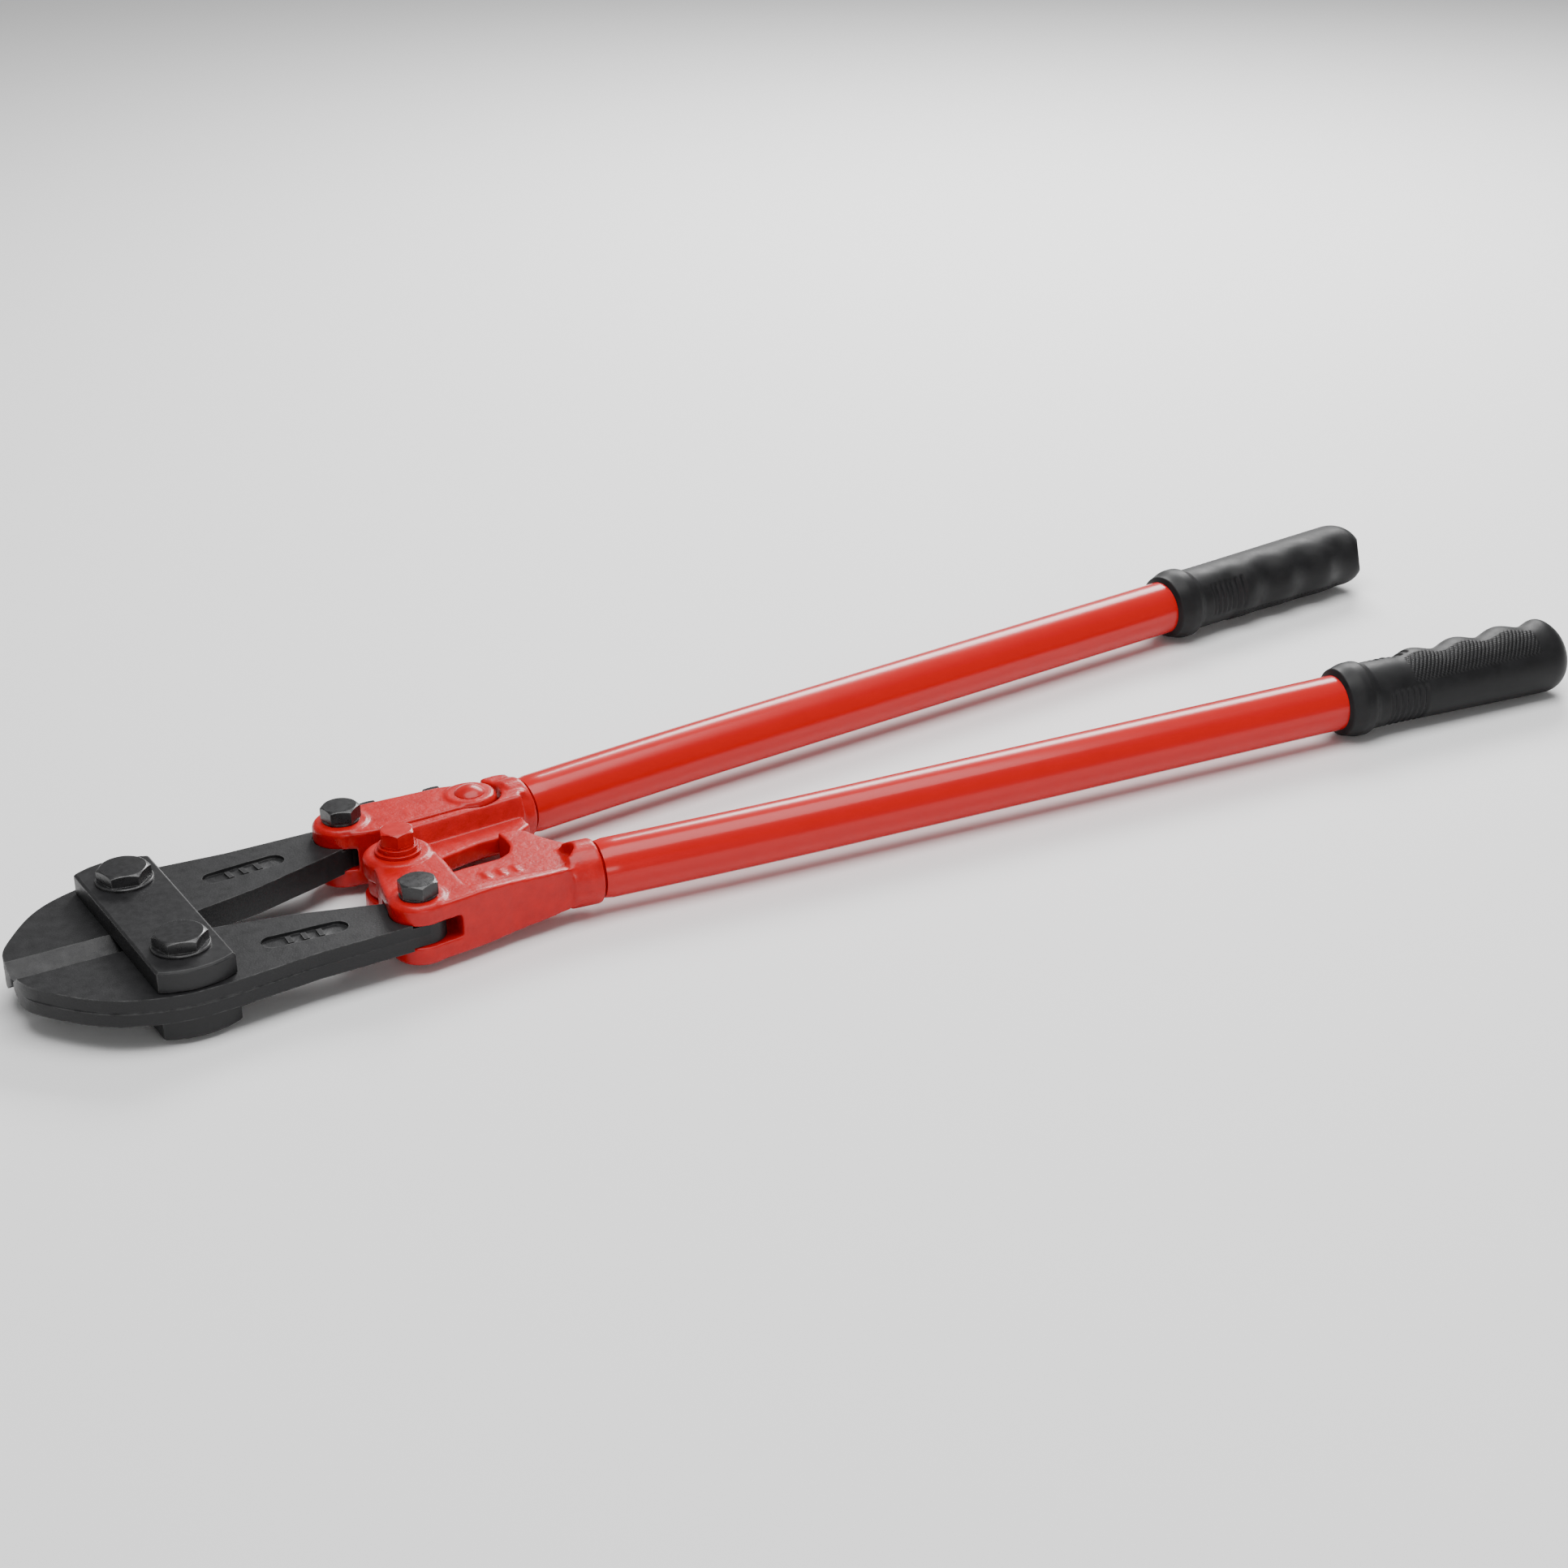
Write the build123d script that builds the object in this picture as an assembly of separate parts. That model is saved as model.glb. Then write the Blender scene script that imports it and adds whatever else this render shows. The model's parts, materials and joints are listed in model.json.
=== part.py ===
from build123d import *
import os
from math import atan, cos, degrees, pi, sin

# A 750 mm pair of bolt cutters lying flat with the jaws closed. Millimetres, +Z up.
# X runs from the jaws to the grips and Y to the right-hand handle. The drawing datum is the
# centre pivot at mid-thickness. to_frame() moves the finished solids to the part's own
# origin, which is the centre of the underside of the whole tool's box.

# ---- driving dimensions -------------------------------------------------------------------
JAW_PIVOT = (-114.5, 35.8)
TAIL_PIVOT = (-9.3, 43.7)
RIVET = (52.3, 38.3)

TIP_X = -178.6
BLADE_HALF = 6.3
TAIL_EYE_HALF = 4.8
TAIL_EYE_R = 11.0
SHOULDER_R = 13.9
EDGE_GAP = 0.15
GROOVE_HALF = 8.7
GROOVE_END_X = -129.0
RECESS_DEPTH = 1.6
SIZE_BAR_RISE = 0.9
SIZE_BAR_STEP = 7.0

PLATE_GAP = 0.35
STRAP_BOTTOM = BLADE_HALF + PLATE_GAP
STRAP_TOP = STRAP_BOTTOM + 9.6
STRAP_WIDTH = 35.0
STRAP_CORNER_Y = 53.8
STRAP_END_Y = 58.6

FORGING_HALF = 13.6
EAR_R = 13.5
EAR_SLOT_HALF = TAIL_EYE_HALF + PLATE_GAP
TONGUE_HALF = 4.3
WEB_HALF = 7.0
TONGUE_SLOT_HALF = TONGUE_HALF + PLATE_GAP
TONGUE_EYE_R = 14.5
HUB_R = 16.2
HUB_BOSS_R = 14.4
HUB_SCALLOP_R = 20.0
SCOOP_R = 9.0
RAIL_END_HALF = 9.4
BOSS_RISE = 0.9
FACE_TOP = FORGING_HALF + BOSS_RISE
RIM_CHAMFER = 1.0

JAW_SHANK_R = 7.0
JAW_FLANGE_R = 12.9
JAW_HEAD_AF = 21.0
JAW_HEAD_TURN = -15.0
PIVOT_SHANK_R = 5.0
FIT = 0.05
THREAD_FIT = 0.02
BOLT_SETBACK = 0.4
CENTRE_PLAY = 3.3
CENTRE_HEAD_AF = 14.4
TAIL_HEAD_AF = 16.0
RIVET_R = 4.0
SCREW_R = 3.6
SCREW_HEAD_AF = 13.0
LOCK_NUT = 5.0
ADJUSTER_X = 13.5
ADJUSTER_TIP_Y = 27.0
ADJUSTER_FACE_Y = 56.4
LOCKER_X = 45.0
LOCKER_TIP_Y = 46.2
LOCKER_FACE_Y = 54.3

COLLAR_R = 15.0
COLLAR_FRONT_CHAMFER = 2.5
SPIGOT_R = 10.6
TUBE_R = 13.7
TUBE_BORE_R = 11.0
COLLAR_X = 78.0
COLLAR_Y = 38.6
FRONT_SLOPE = 0.115
REAR_SLOPE = 0.082
BEND_X = 153.9
BEND_REACH = 52.0
TUBE_END_X = 584.0
SEAM = 1.2

GRIP_START_X = 466.0
GRIP_END_X = 600.0
GRIP_HALF_Z = 16.4
GRIP_COLLAR_HALF_Z = 18.6

# the whole tool's box, which places the part's origin
BOX_FRONT_X = TIP_X
BOX_BACK_X = GRIP_END_X
BOX_BOTTOM_Z = -GRIP_COLLAR_HALF_Z


# ---- small helpers ------------------------------------------------------------------------
def to_frame(solid):
    """Move a solid from the drawing datum to the part's origin."""
    return Pos(-(BOX_FRONT_X + BOX_BACK_X) / 2, 0, -BOX_BOTTOM_Z) * solid


def disc(centre, radius, bottom, top):
    """An upright cylinder between two heights."""
    height = top - bottom
    return Pos(centre[0], centre[1], (bottom + top) / 2) * Cylinder(radius, height)


def prism(points, bottom, top):
    """A straight-sided outline raised between two heights."""
    face = make_face(Polyline(*points, close=True))
    return Pos(0, 0, bottom) * extrude(face, top - bottom)


def box(low, high):
    """A block given by two opposite corners."""
    size = [high[i] - low[i] for i in range(3)]
    middle = [(high[i] + low[i]) / 2 for i in range(3)]
    return Pos(*middle) * Box(*size)


def hexagon(centre, across_flats, bottom, top, turn=0.0):
    """An upright hexagonal prism with its top corners chamfered off by a cone."""
    face = RegularPolygon(across_flats / 2, 6, major_radius=False, rotation=turn)
    prism_part = Pos(centre[0], centre[1], bottom) * extrude(face, top - bottom)
    reach = across_flats * 0.5
    cone = Cone(reach + (top - bottom) * 1.7 + 0.2, reach - 0.4, top - bottom)
    return prism_part & (Pos(centre[0], centre[1], (bottom + top) / 2) * cone)


def flip_y(solid):
    return mirror(solid, Plane.XZ)


def flip_z(solid):
    return mirror(solid, Plane.XY)


def both_sides(solid):
    """A solid together with its twin below the mid-plane."""
    return solid + flip_z(solid)


# ---- jaws ---------------------------------------------------------------------------------
def blade_outline():
    """The right blade seen from above: nose, swept back, tapered tail and inner relief."""
    nose = Spline(
        (TIP_X, 8.5), (-170.0, 28.0), (-149.4, 49.5), (-127.0, 58.8), (-100.0, 60.0),
        tangents=[(0.05, 1.0), (1.0, -0.05)])
    tail = Polyline((-100.0, 60.0), (-62.0, 55.9), (-9.3, 54.7), (-9.3, 32.7), (-30.0, 25.4),
                    (-61.0, 15.6), (-92.0, 9.2))
    relief = Spline((-92.0, 9.2), (-105.0, 5.0), (-114.0, EDGE_GAP),
                    tangents=[(-1.0, -0.2), (-0.75, -0.65)])
    edge = Polyline((-114.0, EDGE_GAP), (TIP_X + 1.6, EDGE_GAP), (TIP_X, 2.0), (TIP_X, 8.5))
    return make_face(nose + tail + relief + edge)


def cutting_groove():
    """The bevel that runs down to the cutting edge on one face."""
    depth = BLADE_HALF - 0.5
    section = Plane.YZ * make_face(Polyline(
        (-0.1, 0.5), (EDGE_GAP, 0.5), (GROOVE_HALF, 0.5 + depth), (GROOVE_HALF, 9.0), (-0.1, 9.0),
        close=True))
    length = GROOVE_END_X - TIP_X + 2.0
    return Pos(TIP_X - 2.0, 0, 0) * extrude(section, length)


def tail_recess():
    """A long sunk panel in the blade's tail, holding three raised size bars."""
    centre = Pos(-60.0, 36.6, BLADE_HALF - RECESS_DEPTH) * Rot(0, 0, 3.8)
    panel = centre * extrude(SlotOverall(39.0, 10.5), 3.0)
    for index in (-1, 0, 1):
        panel = panel - centre * (Pos(SIZE_BAR_STEP * index, 0, 0) * Box(2.4, 6.0, 2 * SIZE_BAR_RISE))
    return panel


def right_blade():
    body = Pos(0, 0, -BLADE_HALF) * extrude(blade_outline(), 2 * BLADE_HALF)
    eye = disc(TAIL_PIVOT, TAIL_EYE_R, -TAIL_EYE_HALF, TAIL_EYE_HALF)
    body = body + eye
    body = body - both_sides(cutting_groove())
    body = body - both_sides(disc(TAIL_PIVOT, SHOULDER_R, TAIL_EYE_HALF, 9.0))
    body = body - both_sides(tail_recess())
    body = body - disc(JAW_PIVOT, JAW_SHANK_R + FIT, -9, 9)
    return body - disc(TAIL_PIVOT, PIVOT_SHANK_R + FIT, -9, 9)


def top_strap():
    half = STRAP_WIDTH / 2
    x = JAW_PIVOT[0]
    sides = [
        Line((x - half, STRAP_CORNER_Y), (x - half, -STRAP_CORNER_Y)),
        ThreePointArc((x - half, -STRAP_CORNER_Y), (x, -STRAP_END_Y), (x + half, -STRAP_CORNER_Y)),
        Line((x + half, -STRAP_CORNER_Y), (x + half, STRAP_CORNER_Y)),
        ThreePointArc((x + half, STRAP_CORNER_Y), (x, STRAP_END_Y), (x - half, STRAP_CORNER_Y)),
    ]
    face = make_face(Curve() + sides)
    plate = Pos(0, 0, STRAP_BOTTOM) * extrude(face, STRAP_TOP - STRAP_BOTTOM)
    plate = chamfer(plate.faces().sort_by(Axis.Z)[-1].edges(), RIM_CHAMFER)
    for side in (-1, 1):
        plate = plate - disc((x, side * JAW_PIVOT[1]), JAW_SHANK_R + THREAD_FIT, 0, 30)
    return plate


def jaw_bolt(side):
    """A flanged hexagon bolt through the top strap and a blade, screwed into the lower strap."""
    centre = (JAW_PIVOT[0], side * JAW_PIVOT[1])
    flange = disc(centre, JAW_FLANGE_R, STRAP_TOP, STRAP_TOP + 1.5)
    flange = chamfer(flange.faces().sort_by(Axis.Z)[-1].edges(), 0.5)
    head = hexagon(centre, JAW_HEAD_AF, STRAP_TOP + 1.4, STRAP_TOP + 6.8, JAW_HEAD_TURN)
    shank = disc(centre, JAW_SHANK_R, -STRAP_TOP + BOLT_SETBACK, STRAP_TOP + 0.1)
    shank = chamfer(shank.faces().sort_by(Axis.Z)[0].edges(), 0.8)
    return flange + head + shank


# ---- centre and tail fasteners ------------------------------------------------------------
def pivot_bolt(centre, seat, turn, across_flats):
    """An M10 hexagon bolt seated at a height and screwed into the forging's lower cheek."""
    washer_face = disc(centre, 0.54 * across_flats, seat, seat + 0.9)
    head = hexagon(centre, across_flats, seat + 0.9, seat + 7.3, turn)
    shank = disc(centre, PIVOT_SHANK_R, -FACE_TOP + BOLT_SETBACK, seat)
    shank = chamfer(shank.faces().sort_by(Axis.Z)[0].edges(), 0.6)
    return washer_face + head + shank


def ring(centre, outer, inner, bottom, top):
    return disc(centre, outer, bottom, top) - disc(centre, inner, bottom - 1, top + 1)


def centre_plain_washer():
    return ring((0, 0), 10.5, PIVOT_SHANK_R + 0.1, FACE_TOP, FACE_TOP + 1.6)


def centre_spring_washer():
    """A square-section spring washer with its sloping split."""
    bottom = FACE_TOP + 1.6
    whole = ring((0, 0), 9.1, PIVOT_SHANK_R + 0.1, bottom, bottom + 2.2)
    split = Pos(7.1, 0, bottom + 1.1) * Rot(30, 0, 0) * Box(6.0, 1.1, 6.0)
    return whole - split


# ---- forgings -----------------------------------------------------------------------------
def collar_frame():
    """The front end of the right tube's axis, with Z along the axis."""
    turn = degrees(atan(FRONT_SLOPE))
    return Pos(COLLAR_X, COLLAR_Y, 0) * Rot(0, 90, 0) * Rot(-turn, 0, 0)


def collar_and_spigot(length=12.0):
    """The round shoulder that the tube butts against and the stub inside it."""
    frame = collar_frame()
    shoulder = Pos(0, 0, -length / 2) * Cylinder(COLLAR_R, length)
    shoulder = chamfer(shoulder.faces().sort_by(Axis.Z)[-1].edges(), 0.8)
    shoulder = chamfer(shoulder.faces().sort_by(Axis.Z)[0].edges(), COLLAR_FRONT_CHAMFER)
    neck = Pos(0, 0, SEAM / 2) * Cylinder(TUBE_BORE_R, SEAM)
    stub = Pos(0, 0, 18.0) * Cylinder(SPIGOT_R, 36.0)
    return frame * (shoulder + neck + stub)


def edge_softened(solid, size=RIM_CHAMFER):
    """Chamfer the top and bottom rims of an upright prism."""
    faces = solid.faces().sort_by(Axis.Z)
    return chamfer(faces[-1].edges() + faces[0].edges(), size)


def left_fork():
    """The left forging: hub cheeks, fork ears, recessed web, stop pad, rail and collar."""
    qx = TAIL_PIVOT[0]
    qy = -TAIL_PIVOT[1]
    block_face = make_face(Polyline(
        (-14.8, -7.5), (-19.0, -24.0), (-22.7, -41.5), (-9.3, -57.0), (8.0, -55.2), (30.0, -52.0),
        (16.0, -47.5), (13.4, -43.0), (14.0, -30.0), (15.0, -19.0), (15.5, -6.0), close=True))
    block = Pos(0, 0, -FORGING_HALF) * extrude(block_face, 2 * FORGING_HALF)
    body = edge_softened(block)
    body = body + edge_softened(disc((0, 0), HUB_R, -FORGING_HALF, FORGING_HALF))
    body = body + edge_softened(disc((qx, qy), EAR_R, -FORGING_HALF, FORGING_HALF))
    rail = prism([(4.0, -54.8), (30.0, -51.8), (50.0, -50.8), (63.0, -49.2), (71.0, -46.8),
                  (74.0, -44.0), (60.0, -44.8), (13.0, -45.0)], -FORGING_HALF, FORGING_HALF)
    fall = Plane.XZ * make_face(Polyline((17.0, FORGING_HALF), (66.0, RAIL_END_HALF), (80.0, RAIL_END_HALF),
                                         (80.0, 20.0), (17.0, 20.0), close=True))
    falling_top = Pos(0, -20.0, 0) * extrude(fall, 50.0)
    body = body + edge_softened(rail, 0.9) - both_sides(falling_top)
    web = prism([(10.0, -49.0), (10.0, -18.0), (24.0, -17.2), (41.0, -17.0), (47.0, -14.0),
                 (50.6, -8.0), (51.4, 0.0), (51.0, 6.6), (59.5, 6.6), (63.5, 1.5), (66.0, -6.0),
                 (70.5, -15.0), (76.0, -22.0), (76.0, -50.0)], -WEB_HALF, WEB_HALF)
    body = body + web
    for index in (-1, 0, 1):
        bar = Pos(36.0 + SIZE_BAR_STEP * index, -30.0 - 0.6 * index, WEB_HALF) * Box(2.2, 6.0, 1.2)
        body = body + bar
    body = body + flip_y(collar_and_spigot(17.0))
    body = body + both_sides(disc((0, 0), HUB_BOSS_R, FORGING_HALF - 1, FACE_TOP))
    body = body + both_sides(disc((qx, qy), 11.8, FORGING_HALF - 1, FACE_TOP))
    body = body - disc((0, 0), TONGUE_EYE_R + CENTRE_PLAY + 0.6, -TONGUE_SLOT_HALF, TONGUE_SLOT_HALF)
    body = body - ear_slot(qx, qy, -1)
    body = body - both_sides(disc((59.8, -34.6), SCOOP_R, WEB_HALF, 20))
    body = body - both_sides(prism([(56.0, -43.4), (64.0, -43.4), (67.0, -27.0), (66.0, -18.0),
                                    (56.0, -18.0)], WEB_HALF, 20))
    body = body - disc((0, 0), PIVOT_SHANK_R + FIT, -40, 40)
    return body - disc((qx, qy), PIVOT_SHANK_R + FIT, -40, 40)


def ear_slot(x, y, side):
    """The gap that a blade's tail eye swings in, opening forwards and outwards."""
    slot = disc((x, y), SHOULDER_R + 0.6, -EAR_SLOT_HALF, EAR_SLOT_HALF)
    mouth = prism([(x - 30, y), (x - 30, y + 26 * side), (x + 15, y + 26 * side), (x + 15, y)],
                  -EAR_SLOT_HALF, EAR_SLOT_HALF)
    front = prism([(x - 30, y - 18 * side), (x - 30, y + 2 * side), (x, y + 2 * side),
                   (x, y - 18 * side)], -EAR_SLOT_HALF, EAR_SLOT_HALF)
    tall = BLADE_HALF + PLATE_GAP
    relief = prism([(x - 30, y - 19 * side), (x - 30, y + 26 * side), (x - 2, y + 26 * side),
                    (x - 2, y + 14 * side), (x - 9, y), (x + 1, y - 19 * side)], -tall, tall)
    relief = relief - disc((x, y), SHOULDER_R - 0.3, -tall, tall)
    return slot + mouth + front + relief


def right_rail():
    """The long rail beside the arm: flat on top, its inner flank falling to the tongue."""
    stations = ((4.0, 16.5, 20.6, 25.4), (72.0, 20.5, 24.6, 27.2))
    sections = []
    for x, foot, crown, back in stations:
        outline = Polyline((foot, -TONGUE_HALF), (crown - 1.2, -FORGING_HALF + 1.6),
                           (crown, -FORGING_HALF), (back, -FORGING_HALF), (back, FORGING_HALF),
                           (crown, FORGING_HALF), (crown - 1.2, FORGING_HALF - 1.6),
                           (foot, TONGUE_HALF), close=True)
        sections.append(Pos(x, 0, 0) * (Plane.YZ * make_face(outline)))
    return loft(sections, ruled=True)


def right_fork():
    """The right forging: tongue with the play-taking eye, rail, arm pocket and collar."""
    tongue = prism([(-13.2, 6.0), (-5.0, 25.3), (40.0, 26.4), (70.0, 27.0), (70.0, 12.0),
                    (62.5, 7.0), (44.0, 7.0), (30.0, 4.0), (17.0, 1.0), (13.5, -5.2), (0.0, 0.0)],
                   -TONGUE_HALF, TONGUE_HALF)
    tongue = tongue + disc((0, 0), TONGUE_EYE_R, -TONGUE_HALF, TONGUE_HALF)
    body = tongue + right_rail()
    block = prism([(44.0, 25.4), (76.0, 27.0), (76.0, 50.0), (71.0, 51.6), (63.0, 51.2),
                   (60.0, 38.0)], -FORGING_HALF, FORGING_HALF)
    body = body + edge_softened(block) + collar_and_spigot()
    body = body - disc(RIVET, 14.3, -20, 20)
    pocket_mouth = prism([(20.0, 27.0), (54.0, 27.0), (54.0, 60.0), (20.0, 60.0)], -20, 20)
    body = body - pocket_mouth
    rivet_eye = disc(RIVET, 8.0, -TONGUE_HALF, TONGUE_HALF)
    rivet_web = prism([(RIVET[0], RIVET[1] - 8.0), (70.0, RIVET[1] - 8.0), (70.0, RIVET[1] + 8.0),
                       (RIVET[0], RIVET[1] + 8.0)], -TONGUE_HALF, TONGUE_HALF)
    body = body + rivet_eye + rivet_web
    body = body - both_sides(disc((0, 0), HUB_SCALLOP_R, TONGUE_HALF, 20))
    body = body - disc((0, 0), PIVOT_SHANK_R + CENTRE_PLAY, -20, 20)
    return body - disc(RIVET, RIVET_R + FIT, -20, 20)


def adjusting_arm():
    """The loose link between the right blade and the right forging."""
    qx, qy = TAIL_PIVOT
    rx, ry = RIVET
    face = make_face(Polyline(
        (-19.0, 35.0), (-10.0, 29.6), (0.0, 26.8), (42.0, 28.0), (49.0, 27.0), (56.0, 28.5), (58.0, 45.0),
        (54.0, 50.5), (44.0, 53.6), (14.0, 55.8), (-6.0, 57.0), close=True))
    link = Pos(0, 0, -FORGING_HALF) * extrude(face, 2 * FORGING_HALF)
    body = edge_softened(link & (disc((rx, ry), 12.4, -20, 20) + box((-30, 20, -20), (rx, 60, 20))))
    body = body + edge_softened(disc(RIVET, 12.4, -FORGING_HALF, FORGING_HALF))
    body = body + edge_softened(disc(TAIL_PIVOT, EAR_R, -FORGING_HALF, FORGING_HALF))
    body = body + both_sides(disc(TAIL_PIVOT, 12.2, FORGING_HALF - 1, FACE_TOP))
    body = body + both_sides(disc(RIVET, 11.4, FORGING_HALF - 1, FACE_TOP))
    body = body - ear_slot(qx, qy, 1)
    rear_slot = disc(RIVET, 8.6, -TONGUE_SLOT_HALF, TONGUE_SLOT_HALF)
    rear_mouth = box((rx, 20, -TONGUE_SLOT_HALF), (rx + 20, 60, TONGUE_SLOT_HALF))
    body = body - rear_slot - rear_mouth
    body = body - disc(TAIL_PIVOT, PIVOT_SHANK_R + FIT, -40, 40)
    body = body - disc(RIVET, RIVET_R + FIT, -40, 40)
    body = body - cross_cylinder(ADJUSTER_X, SCREW_R + FIT, 20, 60)
    return body - cross_cylinder(LOCKER_X, SCREW_R + FIT, RIVET[1] + 4, 60)


def arm_rivet():
    """A dome-headed rivet, domed at both ends."""
    x, y = RIVET
    shank = disc(RIVET, RIVET_R, -FACE_TOP, FACE_TOP)
    cap_height = 3.2
    cap_radius = 7.4
    ball_radius = (cap_radius ** 2 + cap_height ** 2) / (2 * cap_height)
    ball = Pos(x, y, FACE_TOP + cap_height - ball_radius) * Sphere(ball_radius)
    cap = ball & box((x - 9, y - 9, FACE_TOP), (x + 9, y + 9, FACE_TOP + 6))
    return shank + both_sides(cap)


# ---- adjusting screws ---------------------------------------------------------------------
def cross_cylinder(x, radius, start, end):
    """A cylinder lying along Y at mid-height."""
    return Pos(x, (start + end) / 2, 0) * Rot(90, 0, 0) * Cylinder(radius, end - start)


def cross_hexagon(x, across_flats, start, end):
    """A chamfered hexagon lying along Y with its chamfer outwards."""
    return Pos(x, 0, 0) * Rot(-90, 0, 0) * hexagon((0, 0), across_flats, start, end)


def cross_screw(x, tip, face):
    """A headed screw through the arm from its outer face, standing off by its lock nut."""
    head_start = face + LOCK_NUT + 4.0
    shank = cross_cylinder(x, SCREW_R, tip, head_start + 1)
    return shank + cross_hexagon(x, SCREW_HEAD_AF, head_start, head_start + 5.6)


def cross_lock_nut(x, face):
    nut = cross_hexagon(x, SCREW_HEAD_AF, face, face + LOCK_NUT)
    return nut - cross_cylinder(x, SCREW_R + THREAD_FIT, face - 1, face + 9)


# ---- handles ------------------------------------------------------------------------------
def rear_axis_y(x):
    """The right tube's axis behind its bend."""
    bend_y = COLLAR_Y + FRONT_SLOPE * (BEND_X - COLLAR_X)
    return bend_y + REAR_SLOPE * (x - BEND_X)


def tube_path():
    start_x = COLLAR_X + SEAM
    start = (start_x, COLLAR_Y + FRONT_SLOPE * SEAM)
    before = (BEND_X - BEND_REACH, COLLAR_Y + FRONT_SLOPE * (BEND_X - BEND_REACH - COLLAR_X))
    after = (BEND_X + BEND_REACH, rear_axis_y(BEND_X + BEND_REACH))
    end = (TUBE_END_X, rear_axis_y(TUBE_END_X))
    bend = TangentArc(before, after, tangent=(1.0, FRONT_SLOPE))
    return Line(start, before) + bend + Line(after, end)


def right_tube():
    path = tube_path()
    section = Plane(origin=path @ 0, z_dir=path % 0) * (Circle(TUBE_R) - Circle(TUBE_BORE_R))
    return sweep(section, path)


def grip_frame():
    """The right grip's frame: X along the tube, Y outwards, origin at the grip's front."""
    turn = degrees(atan(REAR_SLOPE))
    return Pos(GRIP_START_X, rear_axis_y(GRIP_START_X), 0) * Rot(0, 0, turn)


def grip_section(along, inner, outer, half_height):
    """One oval station of the grip, reaching further on one side than the other."""
    width = (inner + outer) / 2
    shift = (outer - inner) / 2
    return Pos(along, shift, 0) * (Plane.YZ * Ellipse(width, half_height))


def right_grip():
    """A moulded rubber grip: stepped collar, waisted neck and a body with finger waves."""
    length = GRIP_END_X - GRIP_START_X
    tall = GRIP_COLLAR_HALF_Z
    collar_sections = [grip_section(0.0, 18.0, 18.0, 17.0), grip_section(4.0, 20.4, 20.4, tall),
                       grip_section(14.0, 20.4, 20.4, tall), grip_section(18.0, 17.6, 17.6, 16.6)]
    collar = loft(collar_sections, ruled=True)
    body_sections = []
    steps = 18
    body_start = 18.0
    body_end = length - 14.0
    for index in range(steps + 1):
        part = index / steps
        wave = 1.1 * cos(2 * pi * 3.5 * part)
        inner = 17.4 + 1.2 * part - wave
        outer = 17.4 + 3.2 * part
        along = body_start + (body_end - body_start) * part
        body_sections.append(grip_section(along, inner, outer, GRIP_HALF_Z))
    for part in (0.45, 0.75, 0.93, 1.0):
        round_off = (1 - part ** 2) ** 0.5 * 0.86 + 0.14
        body_sections.append(grip_section(body_end + 14.0 * part, 19.7 * round_off,
                                          20.6 * round_off, GRIP_HALF_Z * round_off))
    body = loft(body_sections)
    bore_length = TUBE_END_X - GRIP_START_X + 2.0
    bore = Pos(bore_length / 2 - 1.0, 0, 0) * Rot(0, 90, 0) * Cylinder(TUBE_R + 0.02, bore_length)
    return grip_frame() * (collar + body - bore)


# ---- assembly -----------------------------------------------------------------------------
def all_parts():
    left_tail = (TAIL_PIVOT[0], -TAIL_PIVOT[1])
    bolt_seat = FACE_TOP + 3.8
    parts = {
        "right_blade": right_blade(),
        "top_strap": top_strap(),
        "bottom_strap": flip_z(top_strap()),
        "left_jaw_bolt": jaw_bolt(-1),
        "right_jaw_bolt": jaw_bolt(1),
        "left_fork": left_fork(),
        "right_fork": right_fork(),
        "adjusting_arm": adjusting_arm(),
        "arm_rivet": arm_rivet(),
        "centre_bolt": pivot_bolt((0, 0), bolt_seat, 10.0, CENTRE_HEAD_AF),
        "centre_plain_washer": centre_plain_washer(),
        "centre_spring_washer": centre_spring_washer(),
        "left_tail_bolt": pivot_bolt(left_tail, FACE_TOP, 20.0, TAIL_HEAD_AF),
        "right_tail_bolt": pivot_bolt(TAIL_PIVOT, FACE_TOP, 40.0, TAIL_HEAD_AF),
        "adjusting_screw": cross_screw(ADJUSTER_X, ADJUSTER_TIP_Y, ADJUSTER_FACE_Y),
        "adjusting_lock_nut": cross_lock_nut(ADJUSTER_X, ADJUSTER_FACE_Y),
        "locking_screw": cross_screw(LOCKER_X, LOCKER_TIP_Y, LOCKER_FACE_Y),
        "locking_lock_nut": cross_lock_nut(LOCKER_X, LOCKER_FACE_Y),
        "right_tube": right_tube(),
        "right_grip": right_grip(),
    }
    for name in ("blade", "tube", "grip"):
        parts["left_" + name] = flip_y(parts["right_" + name])
    return parts


def main():
    os.makedirs("parts", exist_ok=True)
    for name, solid in all_parts().items():
        export_step(to_frame(solid), "parts/" + name + ".step")


main()
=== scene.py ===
import json
from math import atan2, cos, pi, radians, sin, sqrt, tau

import bmesh
import bpy
from mathutils import Matrix, Vector


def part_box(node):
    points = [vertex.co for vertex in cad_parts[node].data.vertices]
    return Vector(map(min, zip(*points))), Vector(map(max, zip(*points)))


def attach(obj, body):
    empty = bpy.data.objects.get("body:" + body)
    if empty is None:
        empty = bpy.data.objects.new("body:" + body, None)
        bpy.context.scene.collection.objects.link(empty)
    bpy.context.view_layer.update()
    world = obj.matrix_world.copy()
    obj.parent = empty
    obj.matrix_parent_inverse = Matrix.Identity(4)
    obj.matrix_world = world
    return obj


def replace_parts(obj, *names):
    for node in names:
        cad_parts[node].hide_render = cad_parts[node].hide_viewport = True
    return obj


bl_info = {
    "name": "Bolt Cutters",
    "version": (1, 0, 0),
    "blender": (4, 5, 0),
    "location": "View3D > Sidebar > Bolt Cutters",
    "description": "Finishes a pair of jointed bolt cutters: blades, linkage, tubes and grips",
    "category": "Object",
}

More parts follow.
